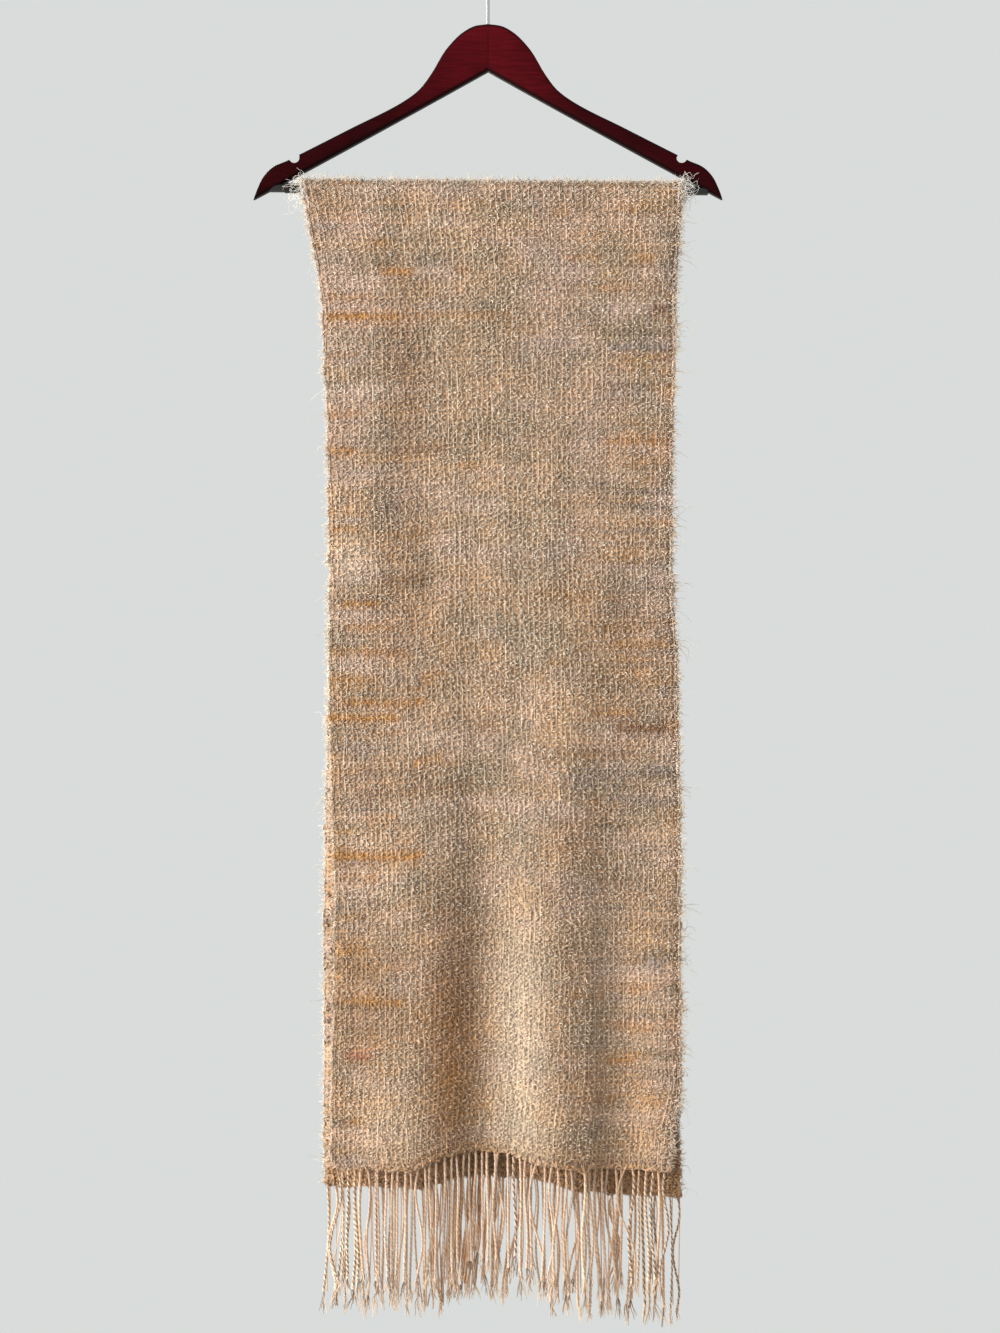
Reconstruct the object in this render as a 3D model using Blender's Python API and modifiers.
"""A mohair scarf, fringed at both ends, folded over the bar of a lacquered wooden hanger.

Metres, +Z up. The origin is the hook's seat: the top of the inside of its bend, where it hangs on a rod.
The hanger lies along X, its arms bow towards -Y, and the scarf's front panel faces -Y.
"""

import math
import random
from collections import namedtuple

import bmesh
import bpy
from mathutils import Matrix, Vector
from mathutils.geometry import interpolate_bezier

# ---------------------------------------------------------------- shared sizes
SEAM = 0.0003  # the gap between pieces that meet

# ---------------------------------------------------------------- hanger
HANGER_WIDTH = 0.445  # tip to tip
ARM_THICKNESS = 0.013
EDGE_ROUND = 0.0038  # the wood's rounded edges
ARM_STATIONS = 32
NOSE_LENGTH = 0.006  # how far from its tip an arm begins to narrow
BOW_KINK = 0.06  # forward slope of each arm at the mitre
BOW_CURVE = 0.177  # and how fast that slope grows, per metre
HUMP_DROP = 0.078  # from the hook's seat to the top of the hump

# One row for each bend of an arm's upper edge: distance out from the mitre, and depth below the hump's top.
Bend = namedtuple("Bend", "out below")
ARM_TOP = (
    Bend(0.0000, 0.0000),
    Bend(0.0114, 0.0017),
    Bend(0.0237, 0.0081),
    Bend(0.0407, 0.0258),
    Bend(0.0545, 0.0491),
    Bend(0.0663, 0.0647),
    Bend(0.0843, 0.0781),
    Bend(0.1283, 0.1017),
    Bend(0.1804, 0.1299),
    Bend(0.1908, 0.1355),
    Bend(0.2036, 0.1416),
    Bend(0.2130, 0.1512),
    Bend(0.2190, 0.1635),
    Bend(0.2225, 0.1730),
)
UNDERSIDE_BELOW = 0.0450  # the underside's apex, below the hump's top
UNDERSIDE_SLOPE = 0.577

NOTCH_OUT = 0.1840  # strap notch, measured like the bends
NOTCH_BELOW = 0.1334
NOTCH_RADIUS = 0.0049

# ---------------------------------------------------------------- hook
WIRE_RADIUS = 0.0016
HOOK_INNER_RADIUS = 0.0190
HOOK_STRAIGHT = 0.0235  # straight stem above the hump
HOOK_SOCKET = 0.0140  # how deep the stem goes into the wood
HOOK_LEAVES = -20  # angle at which the S-bend joins the round part, in degrees
HOOK_ENDS = 205
BEND_HANDLE = 0.0125

# ---------------------------------------------------------------- bar
BAR_RADIUS = 0.0042
SLEEVE_RADIUS = 0.0049
SLEEVE_WALL = 0.0004
BAR_BELOW = 0.1628  # the bar's axis at the middle, below the hump's top
BAR_HALF = 0.2090
SLEEVE_HALF = 0.1930
BAR_TILT = math.radians(0.4)  # its right end hangs a little lower
ROUND_SIDES = 24

# ---------------------------------------------------------------- scarf
CLOTH_THICKNESS = 0.0024
COLUMNS = 18
PANEL_ROWS = 24
BAR_ROWS = 12

# One row for each height at which a panel's edges are known: height, left edge and right edge.
Edges = namedtuple("Edges", "height left right")
FRONT_EDGES = (
    Edges(-1.170, -0.1468, 0.1712),
    Edges(-1.133, -0.1475, 0.1745),
    Edges(-1.090, -0.1470, 0.1815),
    Edges(-0.900, -0.1440, 0.1815),
    Edges(-0.726, -0.1500, 0.1795),
    Edges(-0.600, -0.1497, 0.1745),
    Edges(-0.489, -0.1515, 0.1742),
    Edges(-0.347, -0.1580, 0.1780),
    Edges(-0.240, -0.1752, 0.1832),
)
BACK_EDGES = (
    Edges(-1.202, -0.1560, 0.1830),
    Edges(-1.100, -0.1565, 0.1820),
    Edges(-0.900, -0.1560, 0.1790),
    Edges(-0.726, -0.1520, 0.1770),
    Edges(-0.489, -0.1500, 0.1735),
    Edges(-0.347, -0.1570, 0.1770),
    Edges(-0.240, -0.1752, 0.1832),
)

# One row for each place where the height of a hem is known.
Hem = namedtuple("Hem", "across height")
FRONT_HEM = (
    Hem(-0.150, -1.1672),
    Hem(-0.080, -1.1680),
    Hem(-0.045, -1.1580),
    Hem(-0.010, -1.1512),
    Hem(0.015, -1.1518),
    Hem(0.048, -1.1610),
    Hem(0.100, -1.1665),
    Hem(0.172, -1.1690),
)
BACK_HEM = (
    Hem(-0.158, -1.1905),
    Hem(-0.060, -1.1900),
    Hem(-0.010, -1.1810),
    Hem(0.030, -1.1815),
    Hem(0.110, -1.1960),
    Hem(0.184, -1.2020),
)

# One row for each soft vertical fold: its middle at the hem, half its width, how far it stands forward there,
# the share of the panel's length at which it starts, and how far its middle has moved over from there.
Fold = namedtuple("Fold", "middle half_width forward starts lean")
FRONT_FOLDS = (
    Fold(-0.080, 0.062, 0.0085, 0.40, -0.012),
    Fold(0.000, 0.044, -0.0090, 0.36, -0.006),
    Fold(0.068, 0.046, 0.0100, 0.30, 0.004),
    Fold(0.128, 0.036, -0.0070, 0.44, 0.010),
    Fold(0.172, 0.028, 0.0040, 0.55, 0.000),
)
BACK_FOLDS = (
    Fold(-0.086, 0.060, 0.0070, 0.46, -0.010),
    Fold(-0.004, 0.048, -0.0080, 0.34, 0.004),
    Fold(0.074, 0.050, 0.0075, 0.38, 0.008),
    Fold(0.138, 0.034, -0.0060, 0.50, -0.006),
)
PANEL_DRIFT = 0.0065  # how far each panel's hem hangs out from the bar's side

# ---------------------------------------------------------------- fringe
STRANDS = 53  # at each hem
STRIP_HEIGHT = 0.0040
STRAND_LENGTH = 0.1200
LENGTH_SPREAD = 0.0060
SWAY_ACROSS = 0.0007
SWAY_DEPTH = 0.0030

# One row for each section of a strand: the share of its length, and half its width.
Section = namedtuple("Section", "along half_width")
STRAND_SECTIONS = (
    Section(0.45, 0.0011),
    Section(0.80, 0.0011),
    Section(0.84, 0.0020),
    Section(0.88, 0.0010),
    Section(0.94, 0.0017),
    Section(1.00, 0.0007),
)

# ---------------------------------------------------------------- worked out from the sizes above
HUMP_TOP = -HUMP_DROP
ARM_REACH = HANGER_WIDTH / 2
FOLD_RADIUS = SLEEVE_RADIUS + SEAM + CLOTH_THICKNESS / 2  # of the cloth's middle, over the bar

Panel = namedtuple("Panel", "side edges hem folds")
FRONT = Panel(-1, FRONT_EDGES, FRONT_HEM, FRONT_FOLDS)
BACK = Panel(1, BACK_EDGES, BACK_HEM, BACK_FOLDS)


def through(points, at):
    """The value at a place on a smooth curve, with no overshoot, through (place, value) points."""
    places = [p[0] for p in points]
    values = [p[1] for p in points]
    if at <= places[0]:
        return values[0]
    if at >= places[-1]:
        return values[-1]
    slopes = [
        (values[i + 1] - values[i]) / (places[i + 1] - places[i])
        for i in range(len(points) - 1)
    ]
    k = max(i for i in range(len(slopes)) if places[i] <= at)

    def tangent(i):
        before, after = slopes[max(i - 1, 0)], slopes[min(i, len(slopes) - 1)]
        if before * after <= 0:
            return 0.0
        return 2 * before * after / (before + after)

    span = places[k + 1] - places[k]
    t = (at - places[k]) / span
    return (
        values[k] * (2 * t**3 - 3 * t**2 + 1)
        + values[k + 1] * (3 * t**2 - 2 * t**3)
        + span * tangent(k) * (t**3 - 2 * t**2 + t)
        + span * tangent(k + 1) * (t**3 - t**2)
    )


def ease(t):
    """0 to 1, slow at both ends."""
    t = min(max(t, 0.0), 1.0)
    return t * t * (3 - 2 * t)


def bow(out):
    """How far forward an arm's middle lies, at a distance out from the mitre."""
    return BOW_KINK * out + BOW_CURVE * out**2


BAR_FORWARD = bow(BAR_HALF)


def bar_height(across):
    """The height of the bar's axis."""
    return HUMP_TOP - BAR_BELOW - across * math.tan(BAR_TILT)


# ---------------------------------------------------------------- building blocks
def material(name, colour, roughness, metallic=0.0):
    """A plain finish. The colour is linear."""
    made = bpy.data.materials.new(name)
    made.use_nodes = True
    shader = made.node_tree.nodes["Principled BSDF"]
    shader.inputs["Base Color"].default_value = (*colour, 1.0)
    shader.inputs["Roughness"].default_value = roughness
    shader.inputs["Metallic"].default_value = metallic
    made.diffuse_color = (*colour, 1.0)
    return made


def collection(name):
    made = bpy.data.collections.new(name)
    bpy.context.scene.collection.children.link(made)
    return made


def add(name, data, finish, group):
    """An object for a mesh or curve, in its collection, with its finish."""
    made = bpy.data.objects.new(name, data)
    if finish:
        data.materials.append(finish)
    group.objects.link(made)
    return made


def mesh_from(name, bm):
    """A mesh whose faces point outwards."""
    bmesh.ops.recalc_face_normals(bm, faces=bm.faces)
    data = bpy.data.meshes.new(name)
    bm.to_mesh(data)
    bm.free()
    data.shade_smooth()
    data.set_sharp_from_angle(angle=math.radians(40))
    return data


def join_rings(bm, rings):
    """Quads between each ring of vertices and the next."""
    for lower, upper in zip(rings, rings[1:]):
        for i in range(len(lower)):
            j = (i + 1) % len(lower)
            bm.faces.new((lower[i], lower[j], upper[j], upper[i]))


def cylinder_cutter(name, radius, depth, place, axis, group):
    """A round cutter, centred on a place, along an axis."""
    bm = bmesh.new()
    turn = Vector((0, 0, 1)).rotation_difference(Vector(axis)).to_matrix().to_4x4()
    bmesh.ops.create_cone(
        bm,
        cap_ends=True,
        segments=ROUND_SIDES,
        radius1=radius,
        radius2=radius,
        depth=depth,
        matrix=Matrix.Translation(place) @ turn,
    )
    cutter = add(name, mesh_from(name, bm), None, group)
    cutter.hide_render = True
    cutter.display_type = "WIRE"
    return cutter


def cut(target, cutter):
    modifier = target.modifiers.new(cutter.name, "BOOLEAN")
    modifier.operation = "DIFFERENCE"
    modifier.solver = "EXACT"
    modifier.object = cutter


# ---------------------------------------------------------------- hanger
def arm_section(out, side):
    """The rounded outline of an arm's wood, cut straight across X."""
    top = HUMP_TOP - through(ARM_TOP, out)
    low = HUMP_TOP - UNDERSIDE_BELOW - UNDERSIDE_SLOPE * out
    depth = max(top - low, 0.0010)
    to_tip = max(ARM_REACH - out, 0.0)
    nose = math.sqrt(max(1 - max(1 - to_tip / NOSE_LENGTH, 0.0) ** 2, 0.06))
    half = ARM_THICKNESS / 2 * nose
    radius = min(EDGE_ROUND, 0.42 * depth, 0.7 * half)
    middle_y, middle_z = -bow(out), (top + low) / 2
    points = []
    for corner in range(4):
        towards_y = (1, -1, -1, 1)[corner]
        towards_z = (1, 1, -1, -1)[corner]
        centre_y = middle_y + towards_y * (half - radius)
        centre_z = middle_z + towards_z * (depth / 2 - radius)
        for step in range(3):
            angle = math.radians(90 * corner + 45 * step)
            points.append(
                (
                    side * out,
                    centre_y + radius * math.cos(angle),
                    centre_z + radius * math.sin(angle),
                )
            )
    return points


def hanger_arm(name, side, wood, group, cutters):
    """One bowed arm, from the mitre to its rounded tip, with its notch and its sockets."""
    bm = bmesh.new()
    rings = []
    for station in range(ARM_STATIONS):
        share = math.sin(station / (ARM_STATIONS - 1) * math.pi / 2)
        out = SEAM / 2 + share * (ARM_REACH - SEAM / 2)
        rings.append([bm.verts.new(p) for p in arm_section(out, side)])
    join_rings(bm, rings)
    bm.faces.new(rings[0])
    bm.faces.new(rings[-1])
    arm = add(name, mesh_from(name, bm), wood, group)

    notch = cylinder_cutter(
        name + "_notch_cutter",
        NOTCH_RADIUS,
        4 * ARM_THICKNESS,
        (side * NOTCH_OUT, -bow(NOTCH_OUT), HUMP_TOP - NOTCH_BELOW),
        (0, 1, 0),
        cutters,
    )
    cut(arm, notch)
    return arm


def cut_sockets(arms, cutters):
    """The holes that the hook's stem and the bar's ends sit in."""
    hook_hole = cylinder_cutter(
        "hook_hole_cutter",
        WIRE_RADIUS + SEAM,
        2 * (HOOK_SOCKET + SEAM),
        (0, 0, HUMP_TOP),
        (0, 0, 1),
        cutters,
    )
    bar_hole = cylinder_cutter(
        "bar_hole_cutter",
        BAR_RADIUS + SEAM,
        2 * (BAR_HALF + SEAM),
        (0, -BAR_FORWARD, bar_height(0)),
        (math.cos(BAR_TILT), 0, -math.sin(BAR_TILT)),
        cutters,
    )
    for arm in arms:
        cut(arm, hook_hole)
        cut(arm, bar_hole)


def hanger_hook(chrome, group):
    """The wire hook: a straight stem, an S-bend to one side, and a round part over the rod."""
    radius = HOOK_INNER_RADIUS + WIRE_RADIUS
    centre = Vector((0, 0, -HOOK_INNER_RADIUS))

    def on_round(degrees):
        a = math.radians(degrees)
        return centre + radius * Vector((math.cos(a), 0, math.sin(a)))

    foot = Vector((0, 0, HUMP_TOP - HOOK_SOCKET))
    neck = Vector((0, 0, HUMP_TOP + HOOK_STRAIGHT))
    join = on_round(HOOK_LEAVES)
    heading = Vector(
        (
            -math.sin(math.radians(HOOK_LEAVES)),
            0,
            math.cos(math.radians(HOOK_LEAVES)),
        )
    )
    bend = interpolate_bezier(
        neck,
        neck + Vector((0, 0, BEND_HANDLE)),
        join - BEND_HANDLE * heading,
        join,
        9,
    )
    step = 9
    turn = [on_round(a) for a in range(HOOK_LEAVES + step, HOOK_ENDS + 1, step)]
    points = [foot, *bend, *turn]

    data = bpy.data.curves.new("hanger_hook", "CURVE")
    data.dimensions = "3D"
    data.bevel_depth = WIRE_RADIUS
    data.bevel_resolution = 2
    data.use_fill_caps = True
    wire = data.splines.new("POLY")
    wire.points.add(len(points) - 1)
    for place, point in zip(wire.points, points):
        place.co = (*point, 1.0)
        place.radius = 1.0
    return add("hanger_hook", data, chrome, group)


def along_bar(made):
    """Lays a piece that was made along Z on the bar's axis."""
    made.location = (0, -BAR_FORWARD, bar_height(0))
    made.rotation_euler = (0, math.pi / 2 + BAR_TILT, 0)
    return made


def hanger_bar(finish, group):
    bm = bmesh.new()
    bmesh.ops.create_cone(
        bm,
        cap_ends=True,
        segments=ROUND_SIDES,
        radius1=BAR_RADIUS,
        radius2=BAR_RADIUS,
        depth=2 * BAR_HALF,
    )
    return along_bar(add("hanger_bar", mesh_from("hanger_bar", bm), finish, group))


def bar_sleeve(finish, group):
    """The clear non-slip tube over the bar, turned from the outline of its wall."""
    inner = SLEEVE_RADIUS - SLEEVE_WALL
    outline = (
        (SLEEVE_RADIUS, 0, SLEEVE_HALF),
        (SLEEVE_RADIUS, 0, -SLEEVE_HALF),
        (inner, 0, -SLEEVE_HALF),
        (inner, 0, SLEEVE_HALF),
    )
    bm = bmesh.new()
    corners = [bm.verts.new(p) for p in outline]
    for i, corner in enumerate(corners):
        bm.edges.new((corner, corners[(i + 1) % len(corners)]))
    data = bpy.data.meshes.new("hanger_bar_sleeve")
    bm.to_mesh(data)
    bm.free()
    sleeve = along_bar(add("hanger_bar_sleeve", data, finish, group))
    turn = sleeve.modifiers.new("turn", "SCREW")
    turn.axis = "Z"
    turn.steps = ROUND_SIDES
    turn.render_steps = ROUND_SIDES
    turn.use_merge_vertices = True
    turn.merge_threshold = 0.00001
    return sleeve


# ---------------------------------------------------------------- scarf
def fold_forward(panel, across, down):
    """How far a panel's folds bring it forward, a share of the way down it."""
    forward = 0.0
    for fold in panel.folds:
        grown = ease((down - fold.starts) / (1 - fold.starts))
        middle = fold.middle - fold.lean * (1 - grown)
        off = (across - middle) / fold.half_width
        if abs(off) < 1:
            forward += fold.forward * grown * math.cos(off * math.pi / 2) ** 2
    return forward


def panel_point(panel, share, down):
    """The middle of the cloth, a share of the way across a panel and of the way down to its hem."""
    lefts = [(e.height, e.left) for e in panel.edges]
    rights = [(e.height, e.right) for e in panel.edges]
    height = bar_height(0) + down * (panel.edges[0].height - bar_height(0))
    left, right = through(lefts, height), through(rights, height)
    across = left + share * (right - left)
    top = bar_height(across) - SEAM / 2
    height = top + down * (through(panel.hem, across) - top)
    out = FOLD_RADIUS + PANEL_DRIFT * ease(down)
    depth = panel.side * out - fold_forward(panel, across, down)
    return Vector((across, depth - BAR_FORWARD, height))


def bar_point(share, round_share):
    """The middle of the cloth where it goes over the bar, from its front side to its back side."""
    front, back = panel_point(FRONT, share, 0), panel_point(BACK, share, 0)
    across = front.x + round_share * (back.x - front.x)
    low = math.asin(SEAM / 2 / FOLD_RADIUS)
    angle = low + round_share * (math.pi - 2 * low)
    return Vector(
        (
            across,
            -BAR_FORWARD - FOLD_RADIUS * math.cos(angle),
            bar_height(across) + FOLD_RADIUS * math.sin(angle),
        )
    )


def cloth(name, point, rows, finish, group):
    """A stretch of cloth: a grid that is laid on the surface point(across, along), given its thickness."""
    bm = bmesh.new()
    bmesh.ops.create_grid(bm, x_segments=COLUMNS, y_segments=rows, size=0.5)
    for vert in bm.verts:
        vert.co = point(vert.co.x + 0.5, 0.5 - vert.co.y)
    stretch = add(name, mesh_from(name, bm), finish, group)
    wall = stretch.modifiers.new("thickness", "SOLIDIFY")
    wall.thickness = CLOTH_THICKNESS
    wall.offset = 0
    wall.use_even_offset = True
    return stretch


def hem_line(panel, share):
    """A point on the panel's hem as it is built, which is straight between the cloth's columns."""
    column = min(int(share * COLUMNS), COLUMNS - 1)
    a = panel_point(panel, column / COLUMNS, 1)
    b = panel_point(panel, (column + 1) / COLUMNS, 1)
    return a.lerp(b, share * COLUMNS - column)


def fringe(name, panel, seed, finish, group):
    """Knotted strands, fused at their roots into a narrow strip just under the cloth's edge."""
    chance = random.Random(seed)
    half_wall = CLOTH_THICKNESS / 2
    width = panel_point(panel, 1, 1).x - panel_point(panel, 0, 1).x
    root_half = STRAND_SECTIONS[0].half_width / width
    cuts = [0.0]
    for i in range(STRANDS):
        middle = (i + 0.5) / STRANDS
        cuts += [middle - root_half, middle + root_half]
    cuts.append(1.0)

    bm = bmesh.new()
    strip = []
    for share in cuts:
        place = hem_line(panel, share)
        top, low = place.z - SEAM, place.z - SEAM - STRIP_HEIGHT
        corners = (
            (place.x, place.y - half_wall, low),
            (place.x, place.y + half_wall, low),
            (place.x, place.y + half_wall, top),
            (place.x, place.y - half_wall, top),
        )
        strip.append([bm.verts.new(c) for c in corners])
    for k, (a, b) in enumerate(zip(strip, strip[1:])):
        for i in range(4):
            j = (i + 1) % 4
            is_root = i == 0 and k % 2 == 1
            if not is_root:
                bm.faces.new((a[i], a[j], b[j], b[i]))
    bm.faces.new(strip[0])
    bm.faces.new(strip[-1])

    for i in range(STRANDS):
        left, right = strip[2 * i + 1], strip[2 * i + 2]
        rings = [[left[0], right[0], right[1], left[1]]]
        root = (left[0].co + right[1].co) / 2
        length = STRAND_LENGTH + chance.uniform(-1, 1) * LENGTH_SPREAD
        sway_x = chance.uniform(-1, 1) * SWAY_ACROSS
        sway_y = chance.uniform(-1, 1) * SWAY_DEPTH
        for section in STRAND_SECTIONS:
            bend = math.sin(section.along * math.pi * 1.5)
            middle = root + Vector(
                (sway_x * bend, sway_y * section.along, -length * section.along)
            )
            h = section.half_width
            ring = [(-h, -h), (h, -h), (h, h), (-h, h)]
            rings.append([bm.verts.new(middle + Vector((x, y, 0))) for x, y in ring])
        join_rings(bm, rings)
        bm.faces.new(rings[-1])
    return add(name, mesh_from(name, bm), finish, group)


# ---------------------------------------------------------------- the whole
def main():
    for old in list(bpy.data.objects):
        bpy.data.objects.remove(old, do_unlink=True)
    group = collection("mohair_scarf_on_hanger")
    cutters = collection("cutters")

    wood = material("cherry_lacquer", (0.055, 0.004, 0.006), 0.22)
    black = material("black_lacquer", (0.010, 0.008, 0.008), 0.30)
    vinyl = material("clear_vinyl", (0.230, 0.230, 0.210), 0.35)
    chrome = material("chrome_wire", (0.700, 0.700, 0.700), 0.15, 1.0)
    mohair = material("mohair", (0.430, 0.290, 0.190), 0.95)
    yarn = material("fringe_yarn", (0.620, 0.460, 0.330), 0.90)

    arms = [
        hanger_arm("hanger_arm_left", -1, wood, group, cutters),
        hanger_arm("hanger_arm_right", 1, wood, group, cutters),
    ]
    cut_sockets(arms, cutters)
    hanger_hook(chrome, group)
    hanger_bar(black, group)
    bar_sleeve(vinyl, group)

    cloth("scarf_front", lambda u, v: panel_point(FRONT, u, v), PANEL_ROWS, mohair, group)
    cloth("scarf_over_bar", bar_point, BAR_ROWS, mohair, group)
    cloth("scarf_back", lambda u, v: panel_point(BACK, u, v), PANEL_ROWS, mohair, group)
    fringe("fringe_front", FRONT, 11, yarn, group)
    fringe("fringe_back", BACK, 12, yarn, group)


main()
